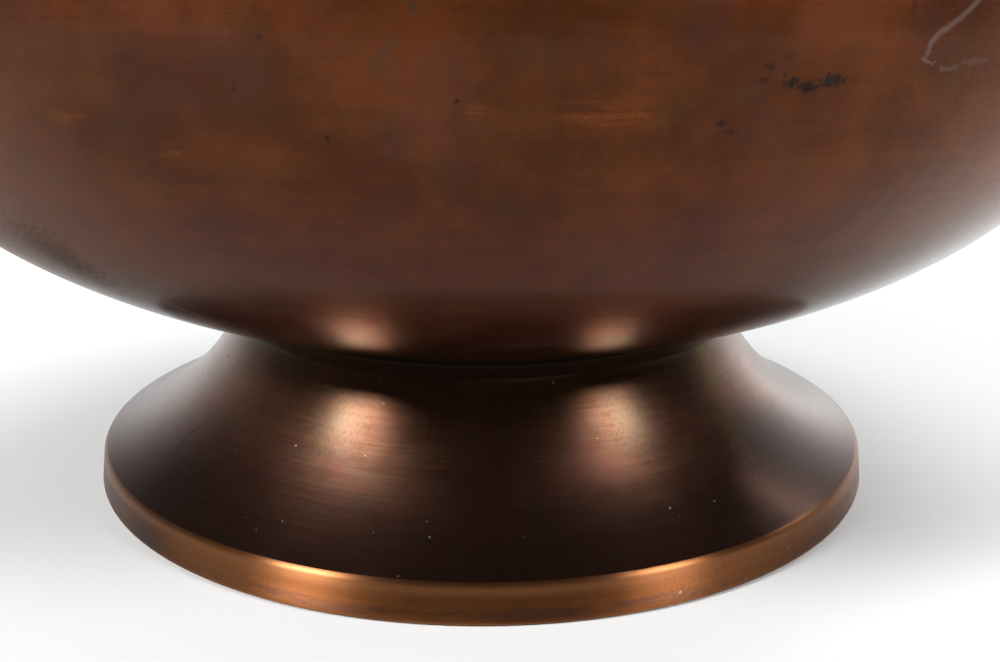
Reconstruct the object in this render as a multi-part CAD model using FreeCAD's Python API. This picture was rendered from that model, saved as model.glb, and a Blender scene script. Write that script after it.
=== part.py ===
import FreeCAD, Part

import math
import os

from FreeCAD import Vector

# A footed copper bowl, spun from sheet.  Every piece is a solid of revolution about Z.
# The origin is the centre of the foot's resting ring, and lengths are in millimetres.

# ---- the sheet and the solder ----
sheet = 1.0                # thickness of both spinnings
solder_gap = 0.14          # solder between the foot's seat and the bowl
solder_film = 0.15         # thickness of the solder that has run down the neck
solder_run = 2.6           # how far it has run down

# ---- the foot ----
foot_radius = 85.0         # widest, at the base
hem_width = 5.5            # sheet turned in at the base, which the bowl stands on
base_corner = 1.3          # outside radius of the bend at the base
band_slope = 83.0          # degrees from level, the low upright band
ridge_radius = 84.2        # where the band and the skirt would meet in a sharp edge
ridge_height = 7.6
ridge_corner = 1.2         # outside radius of that edge
skirt_slope = 20.0         # degrees from level, at the ridge
skirt_radius = 52.0        # hollow sweep of the skirt up to the neck
neck_slope = 66.5          # degrees from level, at the top of the neck
seat_corner = 1.5          # outside radius where the neck turns in under the bowl
seat_slope = -12.9         # degrees from level, sloping down towards the axis
seat_width = 5.4           # length of the seat that the bowl is soldered to

# ---- the bowl ----
bowl_radius = 126.4        # outside, at the widest
bowl_depth = 69.0          # outside, from the widest level down to the lowest point
wall_height = 13.0         # upright wall, from the widest level to the rim wire
wire_radius = 1.5          # inside radius of the rolled rim
wire_play = 0.03           # room round the wire inside the roll
roll_start = 180.0         # degrees, where the roll leaves the wall
roll_end = -100.0          # degrees, its free edge below the wire

same_point = 1e-6          # two ends closer than this need no line between them


def point(radius, height):
    return Vector(radius, 0, height)


def line(start, end):
    return Part.LineSegment(start, end).toShape()


def slope_point(centre, radius, slope):
    """The point of a bend where the surface has this slope; a hollow bend's radius is negative."""
    angle = math.radians(slope)
    return centre + point(radius * math.sin(angle), radius * math.cos(angle))


def slope_arc(centre, radius, start, end):
    """The part of a bend between two slopes, in degrees."""
    corners = [slope_point(centre, radius, slope) for slope in (start, (start + end) / 2, end)]
    return Part.Arc(*corners).toShape()


def turned_point(centre, radius, degrees):
    """The point of a circle in this direction from its centre, in degrees above +X."""
    angle = math.radians(degrees)
    return centre + point(radius * math.cos(angle), radius * math.sin(angle))


def turned_arc(centre, radius, start, end):
    corners = [turned_point(centre, radius, turn) for turn in (start, (start + end) / 2, end)]
    return Part.Arc(*corners).toShape()


def along(start, slope, length):
    """The point this far up a slope, going in towards the axis."""
    angle = math.radians(slope)
    return start + point(-length * math.cos(angle), length * math.sin(angle))


def revolve(edges):
    """The solid that a closed outline sweeps about Z."""
    wire = Part.Wire(Part.__sortEdges__(edges))
    return Part.Face(wire).revolve(Vector(0, 0, 0), Vector(0, 0, 1), 360)


def foot_bends():
    """The foot's four bends from the base up: centre, radius, first slope, last slope."""
    base_centre = point(foot_radius - base_corner, base_corner)
    ridge = point(ridge_radius, ridge_height)
    half_turn = math.radians((band_slope - skirt_slope) / 2)
    skirt_start = along(ridge, skirt_slope, ridge_corner * math.tan(half_turn))
    ridge_centre = slope_point(skirt_start, -ridge_corner, skirt_slope)
    skirt_centre = slope_point(skirt_start, skirt_radius, skirt_slope)
    neck_top = slope_point(skirt_centre, -skirt_radius, neck_slope)
    seat_centre = slope_point(neck_top, -seat_corner, neck_slope)
    return [
        (base_centre, base_corner, 180.0, band_slope),
        (ridge_centre, ridge_corner, band_slope, skirt_slope),
        (skirt_centre, -skirt_radius, skirt_slope, neck_slope),
        (seat_centre, seat_corner, neck_slope, seat_slope),
    ]


def foot_outline(inset):
    """One face of the foot's sheet, from the hem to the seat, set in from the outside."""
    edges = []
    last = point(foot_radius - hem_width, inset)
    for centre, radius, start, end in foot_bends():
        first = slope_point(centre, radius - inset, start)
        if not first.isEqual(last, same_point):
            edges.append(line(last, first))
        edges.append(slope_arc(centre, radius - inset, start, end))
        last = slope_point(centre, radius - inset, end)
    seat_end = along(last, seat_slope, seat_width)
    edges.append(line(last, seat_end))
    return edges, seat_end


def foot_shell():
    outside, outer_end = foot_outline(0)
    inside, inner_end = foot_outline(sheet)
    hem_edge = line(point(foot_radius - hem_width, 0), point(foot_radius - hem_width, sheet))
    seat_edge = line(outer_end, inner_end)
    return revolve(outside + inside + [hem_edge, seat_edge])


def bowl_centre():
    """The middle of the widest level, set so that the bowl rests on the solder on the seat."""
    seat_centre, radius, _, slope = foot_bends()[-1]
    middle = along(slope_point(seat_centre, radius, slope), slope, seat_width / 2)
    drop = bowl_depth * math.sqrt(1 - (middle.x / bowl_radius) ** 2)
    return point(0, middle.z + solder_gap + drop)


def bowl_curve(inset, start=0, end=math.pi / 2):
    """An arc of the bowl's ellipse, set in from the outside, from 0 at the widest point."""
    centre = bowl_centre()
    widest = centre + point(bowl_radius - inset, 0)
    lowest = centre - point(0, bowl_depth - inset)
    ellipse = Part.Ellipse(widest, lowest, centre)
    return ellipse.toBSpline(start, end).toShape()


def bowl_shell():
    """The bowl's wall, its upright top and the roll round the rim wire."""
    centre = bowl_centre()
    wire_centre = rim_wire_centre()
    top = wire_centre.z
    edges = []
    for inset in (0, sheet):
        edges.append(bowl_curve(inset))
        wall_radius = bowl_radius - inset
        edges.append(line(point(wall_radius, centre.z), point(wall_radius, top)))
        edges.append(turned_arc(wire_centre, wire_radius + inset, roll_start, roll_end))
    lowest = centre.z - bowl_depth
    free_inside = turned_point(wire_centre, wire_radius, roll_end)
    free_outside = turned_point(wire_centre, wire_radius + sheet, roll_end)
    edges.append(line(point(0, lowest), point(0, lowest + sheet)))
    edges.append(line(free_inside, free_outside))
    return revolve(edges)


def rim_wire_centre():
    return bowl_centre() + point(bowl_radius + wire_radius, wall_height)


def rim_wire():
    """The round wire that stiffens the rim, inside the roll."""
    centre = rim_wire_centre()
    return Part.makeTorus(centre.x, wire_radius - wire_play, Vector(0, 0, centre.z), Vector(0, 0, 1))


def foot_solder():
    """Solder between the seat and the bowl, and the film of it on the top of the neck."""
    skirt_centre, skirt_bend, _, _ = foot_bends()[2]
    seat_centre, seat_bend, _, _ = foot_bends()[3]
    film_slope = neck_slope - math.degrees(solder_run / skirt_radius)
    film_bend = skirt_bend + solder_film
    seat_start = slope_point(seat_centre, seat_bend, seat_slope)
    seat_end = along(seat_start, seat_slope, seat_width)
    film_top = slope_point(skirt_centre, film_bend, neck_slope)
    film_foot = slope_point(skirt_centre, film_bend, film_slope)
    neck_point = slope_point(skirt_centre, skirt_bend, film_slope)
    inner_turn = math.acos(seat_end.x / bowl_radius)
    outer_turn = math.acos((film_top.x + 2 * solder_film) / bowl_radius)
    contact = bowl_curve(0, outer_turn, inner_turn)
    contact_outside, contact_inside = [corner.Point for corner in contact.Vertexes]
    return revolve([
        contact,
        line(contact_inside, seat_end),
        line(seat_end, seat_start),
        slope_arc(seat_centre, seat_bend, seat_slope, neck_slope),
        slope_arc(skirt_centre, skirt_bend, neck_slope, film_slope),
        line(neck_point, film_foot),
        slope_arc(skirt_centre, film_bend, film_slope, neck_slope),
        line(film_top, contact_outside),
    ])


pieces = {
    "bowl_shell": bowl_shell(),
    "rim_wire": rim_wire(),
    "foot_shell": foot_shell(),
    "foot_solder": foot_solder(),
}

os.makedirs("parts", exist_ok=True)
for name, shape in pieces.items():
    if not shape.isValid():
        raise ValueError(name + " is not a valid solid")
    shape.exportStep("parts/" + name + ".step")
    print(name, shape.ShapeType, "volume", round(shape.Volume, 1), "box", shape.BoundBox)
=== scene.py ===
import math

import bmesh
import bpy
from mathutils import Matrix, Vector, noise


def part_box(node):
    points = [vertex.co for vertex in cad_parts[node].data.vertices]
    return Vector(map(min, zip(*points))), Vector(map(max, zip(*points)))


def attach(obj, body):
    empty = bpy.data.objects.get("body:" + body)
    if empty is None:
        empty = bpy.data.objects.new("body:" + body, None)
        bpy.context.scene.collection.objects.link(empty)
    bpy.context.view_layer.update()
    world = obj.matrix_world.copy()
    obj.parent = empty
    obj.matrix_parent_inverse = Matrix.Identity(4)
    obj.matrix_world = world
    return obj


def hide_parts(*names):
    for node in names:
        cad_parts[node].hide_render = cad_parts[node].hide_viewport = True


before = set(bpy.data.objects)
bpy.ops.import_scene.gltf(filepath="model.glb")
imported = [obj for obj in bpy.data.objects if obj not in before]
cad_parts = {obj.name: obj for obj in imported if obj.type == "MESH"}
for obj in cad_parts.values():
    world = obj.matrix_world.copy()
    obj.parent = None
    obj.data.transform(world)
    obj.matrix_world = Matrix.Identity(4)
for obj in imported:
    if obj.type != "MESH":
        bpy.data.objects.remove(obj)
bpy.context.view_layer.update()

# ---- sizes, in metres, from the frame and from the way the two spinnings are shaped ----
MM = 0.001
foot_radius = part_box("foot_shell")[1].x
bowl_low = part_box("bowl_shell")[0]
wire_low, wire_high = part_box("rim_wire")

sheet = 1.0 * MM
wire_radius = (wire_high.z - wire_low.z) / 2
wire_play = 0.03 * MM
roll_radius = wire_radius + wire_play          # inside of the rolled rim
wire_height = (wire_high.z + wire_low.z) / 2
bowl_radius = wire_high.x - wire_radius - roll_radius
bowl_depth = 69.0 * MM
widest_height = bowl_low.z + bowl_depth
roll_end = -100                                # degrees, the roll's free edge below the wire

hem_width = 5.5 * MM
base_corner = 1.3 * MM
band_slope = 83                                # degrees from level, as are the other slopes
ridge_radius = 84.2 * MM
ridge_height = 7.6 * MM
ridge_corner = 1.2 * MM
skirt_slope = 20
skirt_radius = 52.0 * MM
neck_slope = 66.5
seat_corner = 1.5 * MM
seat_slope = -12.9
seat_width = 5.4 * MM
solder_film = 0.13 * MM
solder_run = 2.4 * MM

TURNS = 288                                    # steps round the axis in each lathed mesh
WALL_STEPS = 64                                # steps up the outside of the bowl's underside


# ---- camera, light and floor ----

def make_camera():
    """The photograph's viewing angle, as distances in foot radii and turns in degrees."""
    back, height, lens = 3.144 * foot_radius, 1.262 * foot_radius, 43.97
    pitch, yaw, roll = math.radians(16.79), math.radians(0.826), math.radians(0.307)
    ahead = Vector((math.sin(yaw) * math.cos(pitch), math.cos(yaw) * math.cos(pitch), -math.sin(pitch)))
    right = ahead.cross(Vector((0, 0, 1))).normalized()
    above = right.cross(ahead)
    rolled_right = right * math.cos(roll) + above * math.sin(roll)
    rolled_above = above * math.cos(roll) - right * math.sin(roll)
    data = bpy.data.cameras.new("camera")
    data.sensor_width = 36
    data.lens = lens
    data.clip_start = 0.01
    camera = bpy.data.objects.new("camera", data)
    turn = Matrix((rolled_right, rolled_above, -ahead)).transposed()
    camera.matrix_world = Matrix.Translation((0, -back, height)) @ turn.to_4x4()
    bpy.context.scene.collection.objects.link(camera)
    bpy.context.scene.camera = camera


def softbox(name, azimuth, elevation, distance, size, power, target):
    """A square soft light, seen from the target at this azimuth (0 is towards -Y) and elevation."""
    a, e = math.radians(azimuth), math.radians(elevation)
    away = Vector((math.sin(a) * math.cos(e), -math.cos(a) * math.cos(e), math.sin(e)))
    data = bpy.data.lights.new(name, "AREA")
    data.shape = "SQUARE"
    data.size = size
    data.energy = power
    light = bpy.data.objects.new(name, data)
    light.location = target + away * distance
    light.rotation_mode = "QUATERNION"
    light.rotation_quaternion = away.to_track_quat("Z", "Y")
    light.visible_camera = False
    bpy.context.scene.collection.objects.link(light)


def make_world():
    """A dim room with a pale backdrop behind the object, brighter on the right."""
    room_light = 0.065
    world = bpy.data.worlds.new("studio")
    bpy.context.scene.world = world
    world.use_nodes = True
    tree = world.node_tree
    split = tree.nodes.new("ShaderNodeSeparateXYZ")
    tree.links.new(tree.nodes.new("ShaderNodeTexCoord").outputs["Generated"], split.inputs[0])

    def ramp(value, low, high, to_low, to_high):
        n = tree.nodes.new("ShaderNodeMapRange")
        n.interpolation_type = "SMOOTHSTEP"
        tree.links.new(value, n.inputs[0])
        for socket, number in zip(n.inputs[1:5], (low, high, to_low, to_high)):
            socket.default_value = number
        return n.outputs[0]

    def product(first, second):
        n = tree.nodes.new("ShaderNodeMath")
        n.operation = "MULTIPLY"
        tree.links.new(first, n.inputs[0])
        tree.links.new(second, n.inputs[1])
        return n.outputs[0]

    behind = ramp(split.outputs[1], 0.05, 0.95, 0.0, 1.0)
    low = ramp(split.outputs[2], 0.0, 0.55, 1.0, 0.0)
    right = ramp(split.outputs[0], -0.8, 0.8, 1.3, 3.0)
    glow = tree.nodes.new("ShaderNodeMath")
    glow.operation = "ADD"
    tree.links.new(product(product(behind, low), right), glow.inputs[0])
    glow.inputs[1].default_value = room_light
    tree.links.new(glow.outputs[0], tree.nodes["Background"].inputs["Strength"])
    tree.nodes["Background"].inputs["Color"].default_value = (0.97, 0.99, 1.0, 1)


def light_scene():
    """Two softboxes make the twin highlights; the others soften the shadows."""
    target = Vector((0, 0, 20 * MM))
    lights = [                                 # azimuth, elevation, distance, size, power
        ("softbox_left", -53.5, 36.8, 1.8, 0.46, 62),
        ("softbox_right", 55, 35, 1.8, 0.46, 33),
        ("side_light", -90, 32, 1.8, 1.6, 0.8),
        ("back_light", 145, 58, 2.0, 1.7, 62),
        ("top_light", 0, 89, 2.0, 2.0, 12),
    ]
    for light in lights:
        softbox(*light, target)
    make_world()
    bpy.context.scene.view_settings.view_transform = "Standard"


def make_floor():
    """The floor lies a hair below the hem, so that the two faces don't share a plane."""
    half, gap = 3.0, 0.02 * MM
    mesh = bpy.data.meshes.new("floor")
    corners = [(-half, -half, -gap), (half, -half, -gap), (half, half, -gap), (-half, half, -gap)]
    mesh.from_pydata(corners, [], [(0, 1, 2, 3)])
    floor = bpy.data.objects.new("floor", mesh)
    bpy.context.scene.collection.objects.link(floor)
    paint = bpy.data.materials.new("pale_floor")
    paint.use_nodes = True
    shader = paint.node_tree.nodes["Principled BSDF"]
    shader.inputs["Base Color"].default_value = (0.465, 0.473, 0.473, 1)
    shader.inputs["Roughness"].default_value = 0.9
    shader.inputs["Specular IOR Level"].default_value = 0.1
    mesh.materials.append(paint)


# ---- outlines: lists of (radius, height) points ----

def slope_point(centre, radius, slope):
    """The point of a bend where the surface has this slope; a hollow bend's radius is negative."""
    angle = math.radians(slope)
    return centre + Vector((math.sin(angle), math.cos(angle))) * radius


def slope_arc(centre, radius, start, end, steps):
    return [slope_point(centre, radius, start + (end - start) * k / steps) for k in range(steps + 1)]


def along(start, slope, length):
    angle = math.radians(slope)
    return start + Vector((-math.cos(angle), math.sin(angle))) * length


def straight(start, end, steps):
    """The points between two ends, without the ends."""
    return [start.lerp(end, k / steps) for k in range(1, steps)]


def foot_bends():
    """The foot's bends from the base up: centre, radius, first slope, last slope, steps."""
    base_centre = Vector((foot_radius - base_corner, base_corner))
    half_turn = math.radians((band_slope - skirt_slope) / 2)
    ridge = Vector((ridge_radius, ridge_height))
    skirt_start = along(ridge, skirt_slope, ridge_corner * math.tan(half_turn))
    ridge_centre = slope_point(skirt_start, -ridge_corner, skirt_slope)
    skirt_centre = slope_point(skirt_start, skirt_radius, skirt_slope)
    neck_top = slope_point(skirt_centre, -skirt_radius, neck_slope)
    seat_centre = slope_point(neck_top, -seat_corner, neck_slope)
    return [
        (base_centre, base_corner, 180, band_slope, 7),
        (ridge_centre, ridge_corner, band_slope, skirt_slope, 8),
        (skirt_centre, -skirt_radius, skirt_slope, neck_slope, 44),
        (seat_centre, seat_corner, neck_slope, seat_slope, 7),
    ]


def foot_face(inset):
    """One face of the foot's sheet, from the hem to the seat, set in from the outside."""
    bends = foot_bends()
    points = [Vector((foot_radius - hem_width, inset))]
    for centre, radius, start, end, steps in bends:
        arc = slope_arc(centre, radius - inset, start, end, steps)
        if (arc[0] - points[-1]).length > 2 * MM:
            points += straight(points[-1], arc[0], 6)
        points += arc if (arc[0] - points[-1]).length > sheet / 100 else arc[1:]
    points.append(along(points[-1], seat_slope, seat_width))
    return points


def bowl_face(inset, steps):
    """The bowl's wall from the lowest point up to the rim wire's level, set in from the outside."""
    points = []
    for k in range(steps + 1):
        turn = math.pi / 2 * k / steps
        radius = (bowl_radius - inset) * math.sin(turn)
        points.append(Vector((radius, widest_height - (bowl_depth - inset) * math.cos(turn))))
    top = Vector((bowl_radius - inset, wire_height))
    return points + straight(points[-1], top, 5)


def roll_face(inset, steps):
    """The rolled rim round the wire, from the wall over the top to the free edge."""
    points = []
    for k in range(steps + 1):
        turn = math.radians(180 + (roll_end - 180) * k / steps)
        out = Vector((math.cos(turn), math.sin(turn))) * (roll_radius + inset)
        points.append(Vector((bowl_radius + roll_radius, wire_height)) + out)
    return points


# ---- meshes ----

def lathe(name, outline_at, closed):
    """A solid of revolution. outline_at gives the outline for each azimuth; its points may move
    with the azimuth, but not in number. The lathe attribute keeps (cos, sin, distance along)."""
    rings = []
    mesh_data = bmesh.new()
    layer = mesh_data.verts.layers.float_vector.new("lathe")
    for k in range(TURNS):
        azimuth = 2 * math.pi * k / TURNS
        c, s = math.cos(azimuth), math.sin(azimuth)
        ring, travelled, last = [], 0.0, None
        for place, p in enumerate(outline_at(azimuth)):
            travelled += (p - last).length if last is not None else 0.0
            last = p
            if p.x < sheet / 1000 and rings:
                ring.append(rings[0][place])
                continue
            vertex = mesh_data.verts.new((p.x * c, p.x * s, p.y))
            vertex[layer] = (c, s, travelled)
            ring.append(vertex)
        rings.append(ring)
    count = len(rings[0])
    for k in range(TURNS):
        one, two = rings[k], rings[(k + 1) % TURNS]
        for j in range(count if closed else count - 1):
            n = (j + 1) % count
            corners = [one[j], one[n], two[n], two[j]]
            corners = [v for i, v in enumerate(corners) if v not in corners[:i]]
            mesh_data.faces.new(corners)
    bmesh.ops.recalc_face_normals(mesh_data, faces=mesh_data.faces)
    mesh = bpy.data.meshes.new(name)
    mesh_data.to_mesh(mesh)
    mesh_data.free()
    mesh.shade_smooth()
    mesh.set_sharp_from_angle(angle=math.radians(40))
    piece = bpy.data.objects.new(name, mesh)
    bpy.context.scene.collection.objects.link(piece)
    return piece


def unevenness(x, y, z, size, seed):
    """A smooth share from 0 to 1 that changes over about this length."""
    value = noise.noise(Vector((x, y, z)) / size + Vector((seed, seed * 1.7, seed * 2.3)))
    return 0.5 + 0.5 * value


def dent(piece, depth, size, seed):
    """Moves both faces of a thin piece in towards the axis together, by up to this depth."""
    for vertex in piece.data.vertices:
        co = vertex.co
        radius = math.hypot(co.x, co.y)
        if radius > 0:
            share = unevenness(co.x, co.y, co.z, size, seed) * depth / radius
            co.x -= co.x * share
            co.y -= co.y * share


def make_bowl():
    """The bowl's sheet: outside, over the rolled rim, and back down the inside."""
    outside = bowl_face(0, WALL_STEPS)
    inside = bowl_face(sheet, 48)
    outline = outside + roll_face(0, 18) + roll_face(sheet, 26)[::-1] + inside[::-1]
    piece = lathe("bowl", lambda azimuth: outline, closed=False)
    dent(piece, depth=0.08 * MM, size=55 * MM, seed=3.0)
    return piece


def make_wire():
    centre = Vector((bowl_radius + roll_radius, wire_height))
    steps = 16
    ring = [slope_point(centre, wire_radius, 360 * k / steps) for k in range(steps)]
    return lathe("rim_core_wire", lambda azimuth: ring, closed=True)


def make_foot():
    """The foot's sheet. Its second material covers the band and the ridge."""
    outline = foot_face(0) + foot_face(sheet)[::-1]
    piece = lathe("foot", lambda azimuth: outline, closed=True)
    band_inside = ridge_radius - 0.7 * MM
    band_top = ridge_height + 0.6 * MM
    for face in piece.data.polygons:
        middle = face.center
        if math.hypot(middle.x, middle.y) > band_inside and middle.z < band_top:
            face.material_index = 1
    dent(piece, depth=0.05 * MM, size=40 * MM, seed=8.0)
    return piece


def make_solder():
    """The solder ring: a fillet under the bowl and an uneven film down the neck."""
    skirt_centre, skirt_bend, _, _, _ = foot_bends()[2]
    seat_centre, seat_bend, _, _, _ = foot_bends()[3]
    seat_start = slope_point(seat_centre, seat_bend, seat_slope)
    seat_end = along(seat_start, seat_slope, seat_width)

    def bowl_at(radius):
        share = radius / bowl_radius
        return Vector((radius, widest_height - bowl_depth * math.sqrt(1 - share * share)))

    def outline(azimuth):
        c, s = math.cos(azimuth), math.sin(azimuth)
        slow = unevenness(c, s, 0, 0.35, 5.0)
        quick = unevenness(c, s, 0, 0.06, 6.0)
        run = solder_run * (0.72 + 0.35 * slow + 0.22 * quick)
        film = solder_film * (0.3 + 0.5 * slow)
        reach = solder_film * (1.6 + 1.6 * quick)
        low = neck_slope - math.degrees(run / skirt_radius)
        neck = slope_arc(skirt_centre, skirt_bend + film, low, neck_slope, 8)
        edge = bowl_at(neck[-1].x + reach)
        hollow = neck[-1].lerp(edge, 0.5) + Vector((-0.25, -0.05)) * reach
        under = [bowl_at(edge.x + (seat_end.x - edge.x) * k / 6) for k in range(1, 7)]
        back = slope_arc(seat_centre, seat_bend, seat_slope, neck_slope, 4)
        down = [slope_point(skirt_centre, skirt_bend, neck_slope + (low - neck_slope) * k / 4)
                for k in range(1, 5)]
        return neck + [hollow, edge] + under + [seat_end] + back + down

    return lathe("solder_seam", outline, closed=True)


# ---- materials ----

# Colours, as linear red, green and blue.
PURPLE_BROWN = (0.050, 0.021, 0.018)
OLIVE_BROWN = (0.046, 0.022, 0.007)
FRONT_LEFT_SHADE_BROWN = (0.024, 0.0085, 0.0045)
LEFT_FLANK_SHADE_BROWN = (0.020, 0.0110, 0.0085)
RIGHT_SIDE_LIGHT_BROWN = (0.130, 0.044, 0.020)
ORANGE_COPPER = (0.220, 0.062, 0.013)
PALE_SCRAPE = (0.150, 0.110, 0.095)
SOOT = (0.006, 0.005, 0.005)
GREEN_STAIN = (0.008, 0.020, 0.020)
RED_BROWN = (0.165, 0.056, 0.044)
GREY_BROWN = (0.120, 0.078, 0.056)
HIGHLIGHT_BRONZE = (0.196, 0.128, 0.078)
SHEEN_DIMMING_BROWN = (0.060, 0.046, 0.038)
SKIRT_SHADE_PLUM = (0.042, 0.021, 0.016)
NECK_SHADE_BROWN = (0.052, 0.026, 0.012)
OLIVE_STREAK = (0.130, 0.088, 0.025)
SCRATCH_GREY = (0.030, 0.025, 0.022)
DUST = (0.30, 0.26, 0.22)
PIT = (0.012, 0.008, 0.006)
BAND_PURPLE = (0.060, 0.029, 0.024)
BAND_TARNISH = (0.060, 0.038, 0.028)
RIDGE_COPPER = (0.205, 0.083, 0.033)
BAND_HIGHLIGHT_COPPER = (0.250, 0.096, 0.035)
EDGE_COPPER = (0.330, 0.110, 0.030)
CREVICE_SHADE_AND_EDGE_BLACK = (0.008, 0.005, 0.004)

MOSTLY_METAL = 0.96                            # the rest is the thin film of patina


class Graph:
    """Short calls that add shader nodes to one metal. Heights in it are in millimetres, and
    azimuths in degrees from -Y towards +X."""

    def __init__(self, name, reach):
        """reach is the radius, in mm, at which azimuths turn into lengths for small marks."""
        self.material = bpy.data.materials.new(name)
        self.material.use_nodes = True
        self.tree = self.material.node_tree
        self.shader = self.tree.nodes["Principled BSDF"]
        self.reach = reach
        lathed = self.node("ShaderNodeAttribute")
        lathed.attribute_name = "lathe"
        self.round = lathed.outputs["Vector"]
        self.along = self.axes(self.round)[2]
        self.place = self.node("ShaderNodeTexCoord").outputs["Object"]
        x, y, z = self.axes(self.place)
        self.height = self.math("DIVIDE", z, MM)
        angle = self.math("ARCTAN2", x, self.math("MULTIPLY", y, -1.0))
        self.azimuth = self.math("MULTIPLY", angle, 180 / math.pi)
        flat = self.node("ShaderNodeCombineXYZ")
        self.link(self.math("MULTIPLY", angle, reach), flat.inputs[0])
        self.link(self.height, flat.inputs[1])
        self.flat = flat.outputs[0]
        self.ragged = self.noise(self.flat, 1.3, 5.0, 0.65)
        self.wobble = self.math("SUBTRACT", self.noise(self.flat, 0.9, 3.0), 0.5)

    def node(self, kind):
        return self.tree.nodes.new(kind)

    def link(self, source, socket):
        if isinstance(source, tuple):
            socket.default_value = (*source, 1) if len(socket.default_value) == 4 else source
        elif isinstance(source, (int, float)):
            socket.default_value = source
        else:
            self.tree.links.new(source, socket)

    def axes(self, vector):
        split = self.node("ShaderNodeSeparateXYZ")
        self.link(vector, split.inputs[0])
        return split.outputs

    def math(self, operation, first, second=0.0, clamp=False):
        n = self.node("ShaderNodeMath")
        n.operation = operation
        n.use_clamp = clamp
        self.link(first, n.inputs[0])
        self.link(second, n.inputs[1])
        return n.outputs[0]

    def vector(self, operation, first, second):
        n = self.node("ShaderNodeVectorMath")
        n.operation = operation
        self.link(first, n.inputs[0])
        self.link(second, n.inputs[1])
        return n.outputs["Value" if operation in ("DOT_PRODUCT", "LENGTH") else "Vector"]

    def noise(self, vector, scale, detail=3.0, rough=0.5):
        n = self.node("ShaderNodeTexNoise")
        self.link(vector, n.inputs["Vector"])
        n.inputs["Scale"].default_value = scale
        n.inputs["Detail"].default_value = detail
        n.inputs["Roughness"].default_value = rough
        return n.outputs["Fac"]

    def spread(self, value, low, high, to_low=0.0, to_high=1.0):
        """Maps low..high smoothly on to to_low..to_high, and no further."""
        n = self.node("ShaderNodeMapRange")
        n.interpolation_type = "SMOOTHSTEP"
        for socket, v in zip(n.inputs, (value, low, high, to_low, to_high)):
            self.link(v, socket)
        return n.outputs[0]

    def both(self, first, second):
        return self.math("MULTIPLY", first, second)

    def either(self, shares):
        total = shares[0]
        for share in shares[1:]:
            total = self.math("MAXIMUM", total, share)
        return total

    def blend(self, share, first, second):
        n = self.node("ShaderNodeMix")
        n.data_type = "RGBA"
        self.link(share, n.inputs[0])
        self.link(first, n.inputs[6])
        self.link(second, n.inputs[7])
        return n.outputs[2]

    def between(self, share, first, second):
        n = self.node("ShaderNodeMix")
        self.link(share, n.inputs[0])
        self.link(first, n.inputs[2])
        self.link(second, n.inputs[3])
        return n.outputs[0]

    def turning(self, around, across, detail=3.0, rough=0.5):
        """Streaks that run round the axis: this many to a radian, and this many to a metre."""
        stretched = self.vector("MULTIPLY", self.round, (around, around, across))
        return self.noise(stretched, 1.0, detail, rough)

    def levels(self, low, start, end, high):
        """1 between the heights start and end, fading to 0 at low and high."""
        return self.both(self.spread(self.height, low, start), self.spread(self.height, high, end))

    def blot(self, azimuth, height, half_width, half_height, ragged=1.6, soft=0.8):
        """A ragged oval mark. Half sizes are in mm, the width being measured round the surface."""
        centre = (math.radians(azimuth) * self.reach, height, 0)
        away = self.vector("SUBTRACT", self.flat, centre)
        away = self.vector("MULTIPLY", away, (1 / half_width, 1 / half_height, 0))
        size = self.math("ADD", self.vector("LENGTH", away, (0, 0, 0)), self.both(self.ragged, ragged * 2))
        return self.spread(size, 1.0 + ragged, 1.0 + ragged - soft)

    def stroke(self, points, half_width):
        """A scratch through these (azimuth, height) points."""
        flat = [Vector((math.radians(a) * self.reach, h, 0)) for a, h in points]
        shift = self.node("ShaderNodeCombineXYZ")
        self.link(self.both(self.wobble, half_width * 5), shift.inputs[0])
        self.link(self.both(self.wobble, half_width * 4), shift.inputs[1])
        place = self.vector("ADD", self.flat, shift.outputs[0])
        nearest = None
        for start, end in zip(flat, flat[1:]):
            run = end - start
            off = self.vector("SUBTRACT", place, tuple(start))
            share = self.vector("DOT_PRODUCT", off, tuple(run / run.length_squared))
            share = self.math("ADD", share, 0.0, clamp=True)
            foot = self.node("ShaderNodeCombineXYZ")
            self.link(self.both(share, run.x), foot.inputs[0])
            self.link(self.both(share, run.y), foot.inputs[1])
            gap = self.vector("LENGTH", self.vector("SUBTRACT", off, foot.outputs[0]), (0, 0, 0))
            nearest = gap if nearest is None else self.math("MINIMUM", nearest, gap)
        return self.spread(nearest, half_width, half_width * 0.2)

    def blots(self, rows):
        """Several ragged marks, each given by its strength and what blot takes."""
        return self.either([self.both(self.blot(*mark), strength) for strength, *mark in rows])

    def strokes(self, rows):
        """Several scratches, each given by its strength and what stroke takes."""
        return self.either([self.both(self.stroke(*mark), strength) for strength, *mark in rows])

    def specks(self, per_metre, size, share, seed):
        """Small round dots: size is a share of their spacing, share is how many places have one."""
        n = self.node("ShaderNodeTexVoronoi")
        shifted = self.vector("ADD", self.place, (seed, seed, seed))
        self.link(shifted, n.inputs["Vector"])
        n.inputs["Scale"].default_value = per_metre
        chosen = self.axes(n.outputs["Color"])
        near = self.spread(n.outputs["Distance"], size, size * 0.5)
        return self.both(near, self.spread(chosen[0], 1 - share, 1 - share + 0.01))


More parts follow.
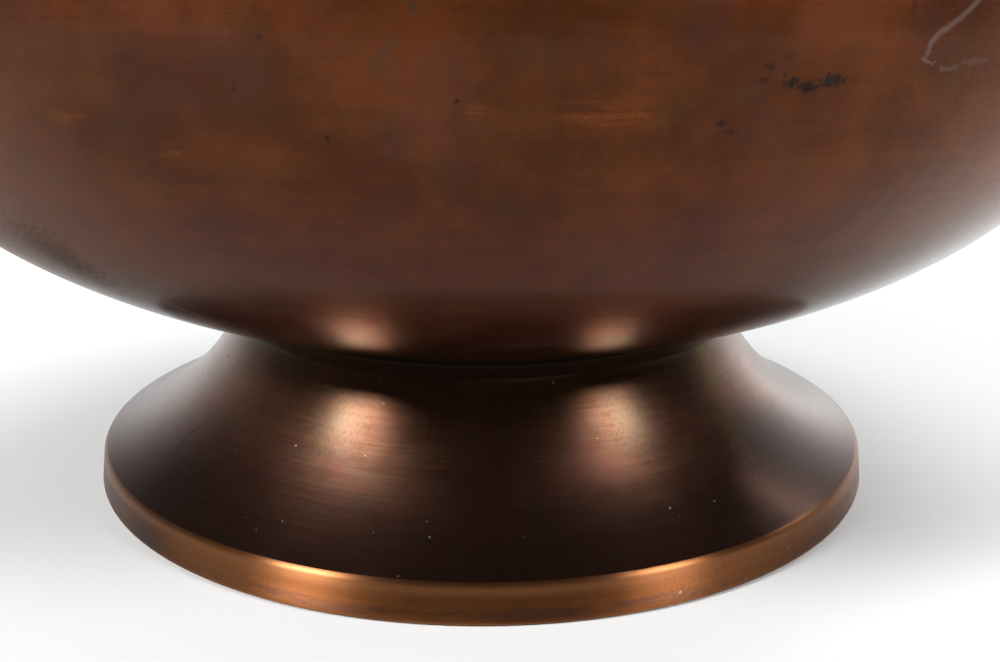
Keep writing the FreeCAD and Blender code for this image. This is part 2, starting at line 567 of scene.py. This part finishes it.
def finish_metal(g, colour, rough, metal, relief, bump, grain, film):
    """Connects a metal's colour, roughness and relief. Turning lines stretch its highlights
    across the lines, which run round the axis: grain says how much. relief runs from 0 to 1, and
    bump is its depth. film is the mirror of the patina itself."""
    quarter_turn = 0.25
    g.shader.inputs["Specular IOR Level"].default_value = film
    g.link(colour, g.shader.inputs["Base Color"])
    g.link(rough, g.shader.inputs["Roughness"])
    g.link(metal, g.shader.inputs["Metallic"])
    g.shader.inputs["Anisotropic"].default_value = grain
    g.shader.inputs["Anisotropic Rotation"].default_value = quarter_turn
    tangent = g.node("ShaderNodeTangent")
    tangent.direction_type = "RADIAL"
    tangent.axis = "Z"
    g.link(tangent.outputs[0], g.shader.inputs["Tangent"])
    dents = g.node("ShaderNodeBump")
    dents.inputs["Strength"].default_value = 1.0
    dents.inputs["Distance"].default_value = bump
    g.link(relief, dents.inputs["Height"])
    g.link(dents.outputs[0], g.shader.inputs["Normal"])
    return g.material


def turned_tone(g, around, across, lines, fine):
    """How light the patina is, from 0 to 1: soft clouds, the bands of the turning, and its thinnest
    lines, whose weight is fine."""
    cloudy, banded, half_range = 0.72, 0.18, 0.12
    clouds = g.noise(g.place, 62, 6.0, 0.66)
    bands = g.turning(around, across)
    tone = g.math("ADD", g.both(clouds, cloudy), g.both(bands, banded))
    middle = (cloudy + banded + fine) / 2
    return g.spread(g.math("ADD", tone, g.both(lines, fine)), middle - half_range, middle + half_range)


def bowl_marks(g):
    """The bowl's own marks: how black, how green, how orange and how pale the surface is.
    They lie on the outer face only."""
    black = g.either([g.both(g.specks(62, 0.03, 0.22, 3.0), 0.6), g.blots([
        (1.0, 19.4, 93.9, 2.2, 1.1),
        (1.0, 18.0, 93.2, 2.2, 0.9),
        (1.0, 16.9, 93.7, 1.4, 1.0),
        (0.6, 15.5, 95.8, 1.2, 0.8),
        (0.5, 15.2, 94.1, 1.2, 0.5),
        (0.8, 16.4, 94.8, 0.5, 0.5),
        (0.35, 16.6, 96.9, 1.0, 0.6),
        (0.6, 13.0, 89.2, 1.1, 0.6),
        (0.4, 13.8, 88.1, 1.2, 0.7),
        (0.3, 20.9, 94.0, 1.4, 0.7),
        (0.4, -19.5, 96.6, 2.2, 1.4),
        (0.4, 24.3, 102.4, 0.8, 1.3),
        (0.45, -35.0, 66.0, 9.0, 8.0),
        (0.8, -11.7, 99.0, 0.5, 0.4, 0.8),
        (0.8, -13.4, 93.0, 0.5, 0.4, 0.8),
        (0.8, -8.5, 87.4, 0.5, 0.4, 0.8),
        (0.8, -1.4, 92.0, 0.4, 0.4, 0.8),
    ])])
    green_spots = g.blots([
        (1.0, -3.5, 102.3, 0.7, 1.0, 0.5),
        (1.0, 19.2, 93.9, 1.3, 0.7, 0.8),
    ])
    green_runs = g.strokes([
        (0.5, [(-4.6, 98.8), (-5.5, 96.4), (-5.1, 93.6)], 0.9),
        (0.4, [(-5.1, 88.4), (-4.7, 85.2)], 0.7),
    ])
    green = g.either([green_spots, green_runs])
    streaks = g.spread(g.turning(8, 520, 4.0, 0.7), 0.42, 0.70)
    orange = g.both(streaks, g.blots([
        (1.0, 6.3, 90.4, 9.5, 3.4, 0.9, 1.2),
        (1.0, -24.6, 89.6, 5.0, 3.8, 0.9, 1.2),
        (1.0, -18.0, 85.0, 4.0, 1.5, 0.6, 0.9),
        (1.0, 11.1, 86.6, 2.0, 1.0, 0.6, 0.9),
        (1.0, -0.4, 91.0, 2.4, 2.6, 0.6, 0.9),
        (0.5, 38.0, 78.0, 22.0, 9.0, 0.9, 1.2),
        (0.7, -70.0, 92.0, 30.0, 5.0, 0.9, 1.2),
    ]))
    hook = [(29.6, 103.6), (28.0, 101.0), (26.4, 99.2), (25.8, 97.8), (25.7, 96.2), (26.2, 95.6)]
    pale = g.strokes([
        (1.0, hook, 0.6),
        (0.7, [(27.0, 94.9), (28.3, 95.0)], 0.55),
        (0.45, [(28.8, 95.4), (30.7, 95.6)], 0.7),
        (0.5, [(-29.0, 57.0), (-27.6, 54.4)], 0.5),
    ])
    outer_wall = bowl_face(0, WALL_STEPS)
    length = sum((b - a).length for a, b in zip(outer_wall, outer_wall[1:]))
    outside = g.math("LESS_THAN", g.along, length)
    return [g.both(mark, outside) for mark in (black, green, orange, pale)]


def bowl_skin():
    """The bowl's patina: brown on the wall and warmer towards the rim; nearly black under the bowl, which
    is painted shade.
    """
    g = Graph("bowl_copper", reach=125.5)
    lines = g.turning(5, 2340, 2.0)
    tone = turned_tone(g, 2.5, 260, lines, fine=0.12)
    # Painted shade: under the bowl the colour turns nearly black, where the foot keeps light off the
    # underside.
    low = g.spread(g.height, 50, 69)
    dark = g.blend(low, (0.010, 0.0030, 0.0017), (0.050, 0.0137, 0.0072))
    light = g.blend(low, (0.016, 0.0046, 0.0026), (0.080, 0.0220, 0.0106))
    upper = g.spread(g.height, 68, 88)
    dark = g.blend(upper, dark, (0.044, 0.0114, 0.0033))
    light = g.blend(upper, light, (0.081, 0.0212, 0.0054))
    colour = g.blend(tone, dark, light)
    purple = g.spread(g.noise(g.vector("ADD", g.place, (3, 1, 2)), 95, 5.0, 0.6), 0.48, 0.66)
    colour = g.blend(g.both(purple, 0.26), colour, PURPLE_BROWN)
    olive = g.spread(g.noise(g.vector("ADD", g.place, (1, 3, 5)), 120, 4.0, 0.6), 0.50, 0.66)
    colour = g.blend(g.both(olive, 0.30), colour, OLIVE_BROWN)
    # Painted shade: darkens the bowl's front left.
    front_left_shade = g.blot(-20.0, 96.0, 48.0, 26.0, 0.5, 1.1)
    colour = g.blend(g.both(front_left_shade, 0.45), colour, FRONT_LEFT_SHADE_BROWN)
    # Painted shade: darkens the bowl's left flank. The same mask also thins the coat there.
    left_flank_shade = g.blot(-48.0, 66.0, 60.0, 30.0, 0.2, 1.0)
    colour = g.blend(g.both(left_flank_shade, 0.7), colour, LEFT_FLANK_SHADE_BROWN)
    # Painted light: lightens the bowl's right side.
    painted_light_patches = g.blot(45.0, 90.0, 52.0, 30.0, 0.5, 1.1)
    colour = g.blend(g.both(painted_light_patches, 0.65), colour, RIGHT_SIDE_LIGHT_BROWN)
    black, green, orange, pale = bowl_marks(g)
    colour = g.blend(g.both(orange, 0.45), colour, ORANGE_COPPER)
    colour = g.blend(g.both(pale, 0.4), colour, PALE_SCRAPE)
    colour = g.blend(g.both(black, 0.85), colour, SOOT)
    colour = g.blend(g.both(green, 0.5), colour, GREEN_STAIN)
    rough = g.between(low, 0.14, g.between(g.spread(lines, 0.3, 0.7), 0.43, 0.47))
    rough = g.between(g.either([black, green, pale]), rough, 0.7)
    hair = g.turning(9, 5200, 2.0)
    relief = g.math("ADD", g.both(hair, 0.5), g.both(lines, 0.5))
    glossy = g.both(g.blot(48.0, 66.0, 66.0, 34.0, 0.2, 1.0), 0.9)
    coat = g.math("ADD", g.spread(g.height, 52, 76, 0.04, 0.22), glossy)
    coat = g.math("SUBTRACT", coat, g.both(left_flank_shade, 0.2), clamp=True)
    g.link(coat, g.shader.inputs["Coat Weight"])
    g.shader.inputs["IOR"].default_value = 1.3
    g.shader.inputs["Coat Roughness"].default_value = 0.14
    g.shader.inputs["Coat IOR"].default_value = 1.3
    metal = g.between(low, g.spread(g.height, 47, 52, 0.40, 0.05), 0.75)
    g.shader.inputs["Specular Tint"].default_value = (1.0, 0.86, 0.78, 1)
    return finish_metal(g, colour, rough, metal, relief, bump=0.0015 * MM, grain=0.5, film=0.05)


def dusty(g, colour):
    """Adds the pale dust and the dark pits to a colour, and gives the share they cover."""
    dust = g.both(g.either([g.specks(230, 0.08, 0.30, 1.0), g.specks(420, 0.09, 0.20, 5.0)]), 0.55)
    pits = g.specks(170, 0.06, 0.35, 9.0)
    colour = g.blend(dust, colour, DUST)
    return g.blend(g.both(pits, 0.8), colour, PIT), g.either([dust, pits])


def foot_skin():
    """The skirt, the seat and the foot's inside: brown and finely turned."""
    g = Graph("foot_copper", reach=70)
    tone = turned_tone(g, 2.0, 300, g.turning(4, 2700, 2.0), fine=0.40)
    colour = g.blend(tone, (0.108, 0.048, 0.027), (0.174, 0.079, 0.045))
    red = g.both(g.levels(6, 12, 20, 30), g.spread(g.noise(g.place, 90, 4.0, 0.6), 0.45, 0.62))
    colour = g.blend(g.both(red, 0.5), colour, RED_BROWN)
    grey = g.spread(g.noise(g.place, 260, 4.0, 0.6), 0.45, 0.65)
    colour = g.blend(g.both(grey, 0.35), colour, GREY_BROWN)
    # Painted highlights: paler patches where the two softboxes' highlights fall on the skirt.
    painted_highlight_patches = g.blots([
        (0.85, -27.0, 25.0, 10.0, 8.0, 0.8, 1.2),
        (0.85, 28.0, 25.0, 10.0, 8.0, 0.8, 1.2),
    ])
    colour = g.blend(painted_highlight_patches, colour, HIGHLIGHT_BRONZE)
    # Painted shade: a greyer, darker patch on the right of the skirt near the ridge dims a sheen there.
    # The same patch is rougher.
    sheen_dimming_patch = g.blot(56.0, 15.0, 22.0, 10.0, 0.3, 1.1)
    colour = g.blend(g.both(sheen_dimming_patch, 0.8), colour, SHEEN_DIMMING_BROWN)
    # Painted shade: the skirt darkens towards the ridge, which shortens the highlights' tails.
    lower_skirt_shade = g.spread(g.height, 26, 10)
    colour = g.blend(g.both(lower_skirt_shade, 0.75), colour, SKIRT_SHADE_PLUM)
    # Painted shade: the skirt darkens up the neck, under the bowl.
    upper = g.spread(g.height, 25, 34)
    colour = g.blend(g.both(upper, 0.7), colour, NECK_SHADE_BROWN)
    uneven_height = g.math("ADD", g.height, g.both(g.turning(3, 60, 4.0, 0.7), 5.0))
    matt = g.spread(uneven_height, 35.4, 37.2)
    olive = g.blend(tone, (0.050, 0.032, 0.018), (0.080, 0.054, 0.030))
    colour = g.blend(matt, colour, olive)
    streak = g.stroke([(54.0, 35.0), (50.0, 23.0), (48.5, 18.0)], 4.0)
    colour = g.blend(g.both(streak, 0.5), colour, OLIVE_STREAK)
    scratches = g.strokes([
        (1.0, [(-57.6, 12.0), (-58.6, 15.0), (-58.2, 17.5)], 0.6),
        (0.6, [(-9.5, 30.0), (-9.3, 24.0)], 0.4),
    ])
    colour = g.blend(g.both(scratches, 0.7), colour, SCRATCH_GREY)
    colour, dirt = dusty(g, colour)
    hair = g.turning(3, 3600, 1.0)
    rough = g.between(g.spread(hair, 0.35, 0.65), 0.278, 0.298)
    rough = g.between(g.either([matt, dirt, g.both(sheen_dimming_patch, 0.7)]), rough, 0.5)
    return finish_metal(g, colour, rough, MOSTLY_METAL, hair, bump=0.004 * MM, grain=0.52, film=0.3)


def band_skin():
    """The ridge and the band under it, worn to a clearer copper along their edges, with painted highlights
    on the band at two azimuths.
    """
    g = Graph("foot_band", reach=85)
    tone = turned_tone(g, 2.0, 300, g.turning(4, 2700, 2.0), fine=0.30)
    colour = g.blend(tone, (0.114, 0.040, 0.0128), (0.156, 0.055, 0.0182))
    worn = g.turning(5, 500, 4.0, 0.7)
    edge = g.math("ADD", g.height, g.both(g.math("SUBTRACT", worn, 0.5), 1.2))
    ridge = g.both(g.spread(edge, 4.8, 6.6), g.spread(edge, 8.6, 8.0))
    low_edge = g.spread(edge, 0.9, 0.3)
    tarnish = g.both(g.spread(g.azimuth, -20, -60), g.spread(worn, 0.3, 0.6))
    purple = g.both(g.levels(1.0, 1.6, 2.6, 3.6), g.spread(worn, 0.45, 0.6))
    colour = g.blend(g.both(purple, 0.6), colour, BAND_PURPLE)
    colour = g.blend(g.both(tarnish, 0.5), colour, BAND_TARNISH)
    colour = g.blend(g.both(ridge, 0.8), colour, RIDGE_COPPER)
    # Painted highlights: paler copper on the band where the softboxes' highlights fall.
    painted_light_patches = g.blots([
        (0.9, 34.0, 5.0, 26.0, 9.0, 0.5, 1.1),
        (0.9, -36.0, 5.0, 20.0, 9.0, 0.5, 1.1),
    ])
    colour = g.blend(painted_light_patches, colour, BAND_HIGHLIGHT_COPPER)
    colour = g.blend(g.both(low_edge, 0.8), colour, EDGE_COPPER)
    colour, dirt = dusty(g, colour)
    rough = g.between(dirt, g.between(ridge, 0.40, 0.36), 0.5)
    hair = g.turning(3, 3600, 1.0)
    return finish_metal(g, colour, rough, MOSTLY_METAL, hair, bump=0.001 * MM, grain=1.0, film=0.3)


def solder_skin():
    """Dull solder, darker at the foot of its film, with painted shade, near black, where the fillet meets
    the bowl.
    """
    g = Graph("solder", reach=53)
    lumps = g.noise(g.place, 700, 4.0)
    colour = g.blend(lumps, (0.030, 0.015, 0.008), (0.066, 0.036, 0.019))
    edge = g.spread(g.math("ADD", g.along, g.both(lumps, 0.3 * MM)), 0.5 * MM, 0.25 * MM)
    # Painted shade: near black where the fillet meets the bowl.
    crevice_shade = g.spread(g.height, 35.85, 36.05)      # where the fillet meets the bowl
    colour = g.blend(g.either([g.both(edge, 0.3), crevice_shade]), colour, CREVICE_SHADE_AND_EDGE_BLACK)
    rough = g.between(crevice_shade, 0.32, 0.6)
    return finish_metal(g, colour, rough, MOSTLY_METAL, lumps, bump=0.004 * MM, grain=0.6, film=0.1)


def wire_skin():
    """Plain drawn wire."""
    g = Graph("wire_copper", reach=128)
    tone = g.turning(3, 900)
    colour = g.blend(tone, (0.12, 0.04, 0.018), (0.24, 0.09, 0.04))
    return finish_metal(g, colour, 0.35, 1.0, tone, bump=0.004 * MM, grain=0.3, film=0.5)


# ---- the object ----

make_camera()
light_scene()
make_floor()

pieces = [
    (make_bowl(), [bowl_skin()], "bowl_shell", "bowl_copper"),
    (make_wire(), [wire_skin()], "rim_wire", "wire_copper"),
    (make_foot(), [foot_skin(), band_skin()], "foot_shell", "foot_copper"),
    (make_solder(), [solder_skin()], "foot_solder", "solder"),
]
for piece, skins, node, slot in pieces:
    for skin in skins:
        piece.data.materials.append(skin)
    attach(piece, "root")
    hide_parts(node)
